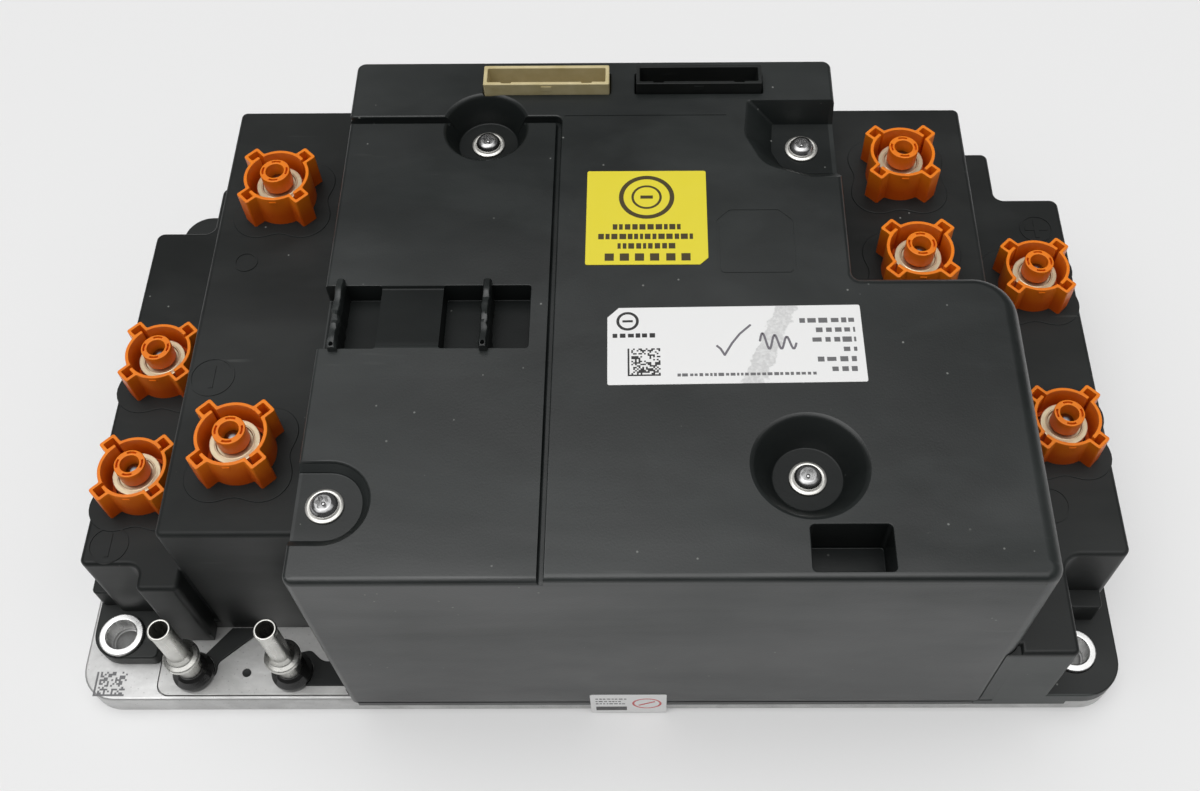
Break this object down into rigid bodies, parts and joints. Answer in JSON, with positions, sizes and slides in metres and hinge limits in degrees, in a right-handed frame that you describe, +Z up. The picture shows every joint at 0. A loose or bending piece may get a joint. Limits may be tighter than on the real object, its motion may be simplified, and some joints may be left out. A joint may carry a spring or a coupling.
{
  "type": "battery junction box",
  "caption": "Stepped black high-voltage junction box on a liquid-cooled plate, with orange touch-guarded bolt terminals, signal headers and coolant pipes.",
  "frame": {"origin": "centre of the cooling plate's underside, at the middle of the bounding box", "axes": "+Z up out of the terminal tops, +X to the right along the long side, the tall front wall faces -Y"},
  "size_m": [0.4, 0.2338, 0.1319],
  "materials": {
    "black_plastic": "satin glass-filled nylon moulding, fine texture",
    "orange_plastic": "satin high-voltage orange moulding",
    "cream_plastic": "satin natural moulding",
    "grey_plastic": "matt moulding",
    "board_green": "solder-masked laminate",
    "cast_aluminium": "milled and as-cast, dull",
    "bright_steel": "zinc-plated, bright",
    "tin_contact": "tin-plated copper, slightly tan",
    "copper": "bare copper bar",
    "seal_rubber": "matt",
    "yellow_label": "satin printed film",
    "white_label": "satin printed film"
  },
  "bodies": {
    "unit": {"cooling_plate": "cast_aluminium", "cooling_plate_lid": "cast_aluminium", "coolant_inlet_pipe": "bright_steel", "coolant_outlet_pipe": "bright_steel", "base_housing": "black_plastic", "main_cover": "black_plastic", "carrier_frame": "black_plastic", "housing_seal": "seal_rubber", "cover_screw_1": "bright_steel", "cover_screw_2": "bright_steel", "cover_screw_3": "bright_steel", "cover_screw_4": "bright_steel", "mounting_bushing_1": "bright_steel", "mounting_bushing_2": "bright_steel", "mounting_bushing_3": "bright_steel", "mounting_bushing_4": "bright_steel", "terminal_guard_1": "orange_plastic", "terminal_guard_2": "orange_plastic", "terminal_guard_3": "orange_plastic", "terminal_guard_4": "orange_plastic", "terminal_guard_5": "orange_plastic", "terminal_guard_6": "orange_plastic", "terminal_guard_7": "orange_plastic", "terminal_guard_8": "orange_plastic", "terminal_sleeve_1": "orange_plastic", "terminal_sleeve_2": "orange_plastic", "terminal_sleeve_3": "orange_plastic", "terminal_sleeve_4": "orange_plastic", "terminal_sleeve_5": "orange_plastic", "terminal_sleeve_6": "orange_plastic", "terminal_sleeve_7": "orange_plastic", "terminal_sleeve_8": "orange_plastic", "terminal_stud_1": "tin_contact", "terminal_stud_2": "tin_contact", "terminal_stud_3": "tin_contact", "terminal_stud_4": "tin_contact", "terminal_stud_5": "tin_contact", "terminal_stud_6": "tin_contact", "terminal_stud_7": "tin_contact", "terminal_stud_8": "tin_contact", "busbar_positive_battery": "copper", "busbar_positive_load": "copper", "busbar_negative_battery": "copper", "current_shunt": "copper", "busbar_negative_load": "copper", "contactor_case_a": "grey_plastic", "contactor_spring_a": "bright_steel", "contactor_case_b": "grey_plastic", "contactor_spring_b": "bright_steel", "pyro_fuse_body": "grey_plastic", "precharge_relay": "grey_plastic", "control_board": "board_green", "header_socket_cream": "cream_plastic", "header_socket_black": "black_plastic", "hazard_label": "yellow_label", "data_label": "white_label", "seal_label": "white_label"},
    "bridge_a": {"contactor_bridge_a": "copper"},
    "bridge_b": {"contactor_bridge_b": "copper"},
    "piston": {"pyro_fuse_piston": "grey_plastic"}
  },
  "joints": [
    {"name": "contactor_a_close", "type": "slide", "parent": "unit", "child": "bridge_a", "axis": [0, 0, 1], "range_m": [0, 0.002], "stiffness_N_per_m": 1500, "deforming": ["contactor_spring_a"]},
    {"name": "contactor_b_close", "type": "slide", "parent": "unit", "child": "bridge_b", "axis": [0, 0, 1], "range_m": [0, 0.002], "stiffness_N_per_m": 1500, "deforming": ["contactor_spring_b"]},
    {"name": "pyro_fuse_fire", "type": "slide", "parent": "unit", "child": "piston", "axis": [0, 0, 1], "range_m": [-0.008, 0]}
  ]
}
